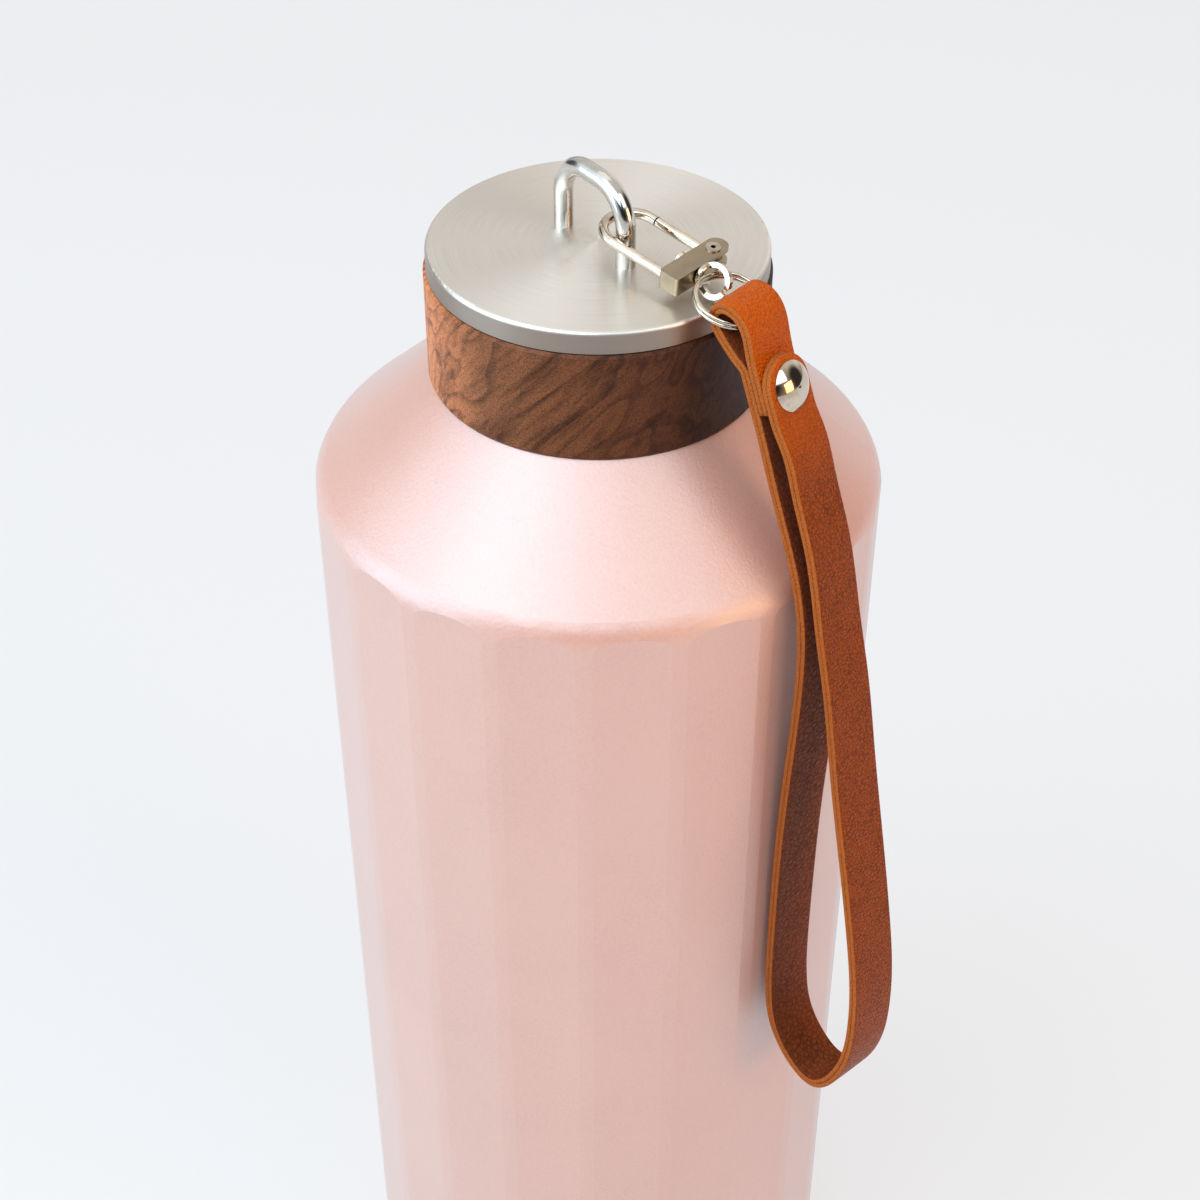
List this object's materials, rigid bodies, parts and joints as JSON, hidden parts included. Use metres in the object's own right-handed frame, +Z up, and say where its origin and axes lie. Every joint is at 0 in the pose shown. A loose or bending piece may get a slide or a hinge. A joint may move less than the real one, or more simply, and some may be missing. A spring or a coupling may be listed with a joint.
{
  "type": "gourd water bottle",
  "caption": "Tall insulated steel bottle with flat-sided body, screw lid in a wood grip ring, carry loop, and a leather wrist strap on a swivel snap hook and split ring.",
  "frame": {"origin": "centre of the flat face of the base pad that the bottle stands on", "axes": "+Z up along the bottle's axis, -Y towards the side that the picture looks at, +X to its right"},
  "size_m": [0.1132, 0.1153, 0.3077],
  "materials": {
    "powder_coat": "matt fine powder coat, pale pink",
    "brushed_steel": "brushed in one direction",
    "vessel_steel": "satin stainless steel",
    "polished_steel": "polished",
    "nickel_plate": "polished nickel plate",
    "walnut": "dark walnut, satin oil",
    "leather_face": "tan vegetable-tanned leather, pebbled face",
    "leather_lining": "brown leather lining, raw edges",
    "liner_plastic": "moulded polypropylene",
    "insulating_foam": "closed-cell foam",
    "seal_silicone": "translucent silicone",
    "base_silicone": "matt silicone",
    "getter_alloy": "pressed powder capsule"
  },
  "bodies": {
    "bottle": {"outer_shell": "powder_coat", "base_cup": "vessel_steel", "base_pad": "base_silicone", "inner_vessel": "vessel_steel", "getter": "getter_alloy"},
    "lid_seal": {"lid_gasket": "seal_silicone"},
    "lid": {"lid_disc": "brushed_steel", "wood_ring": "walnut", "lid_liner": "liner_plastic", "lid_foam": "insulating_foam", "carry_loop": "polished_steel", "loop_washers": "vessel_steel", "loop_nuts": "vessel_steel"},
    "hook": {"hook_wire": "nickel_plate", "hook_block": "nickel_plate", "gate_pin": "nickel_plate", "gate_spring": "vessel_steel"},
    "gate": {"gate_lever": "nickel_plate"},
    "swivel": {"swivel_eye": "nickel_plate", "swivel_post": "nickel_plate"},
    "ring": {"split_ring": "nickel_plate"},
    "strap": {"strap_outer_ply": "leather_face", "strap_inner_ply": "leather_lining", "rivet_cap": "nickel_plate", "rivet_post": "nickel_plate"}
  },
  "joints": [
    {"name": "lid_lift", "type": "slide", "parent": "bottle", "child": "lid_seal", "axis": [0, 0, 1], "range_m": [0, 0.008]},
    {"name": "lid_turn", "type": "hinge", "parent": "lid_seal", "child": "lid", "pos_m": [0, 0, 0.28], "axis": [0, 0, 1], "range_deg": [0, 720]},
    {"name": "hook_lift", "type": "hinge", "parent": "lid", "child": "hook", "pos_m": [0.00605, -0.00674, 0.29785], "axis": [-0.6856, -0.7265, -0.0467], "range_deg": [0, 55]},
    {"name": "gate_open", "type": "hinge", "parent": "hook", "child": "gate", "pos_m": [0.01979, -0.01286, 0.29629], "axis": [0.0594, -0.1198, 0.991], "range_deg": [0, 22], "stiffness_Nm_per_rad": 0.004, "springref_deg": -34.38},
    {"name": "swivel_turn", "type": "hinge", "parent": "hook", "child": "swivel", "pos_m": [0.01875, -0.01858, 0.29566], "axis": [0.7256, -0.6766, -0.1253], "range_deg": [-8, 8]},
    {"name": "ring_swing", "type": "hinge", "parent": "swivel", "child": "ring", "pos_m": [0.01984, -0.01922, 0.29613], "axis": [-0.7071, -0.7071, 0], "range_deg": [0, 60]},
    {"name": "strap_swing", "type": "hinge", "parent": "ring", "child": "strap", "pos_m": [0.02686, -0.02898, 0.29299], "axis": [-0.7071, -0.7071, 0], "range_deg": [0, 5]}
  ],
  "couplings": [
    {"joint": "lid_turn", "follows": "lid_lift", "rad_per_m": 1570.8}
  ]
}
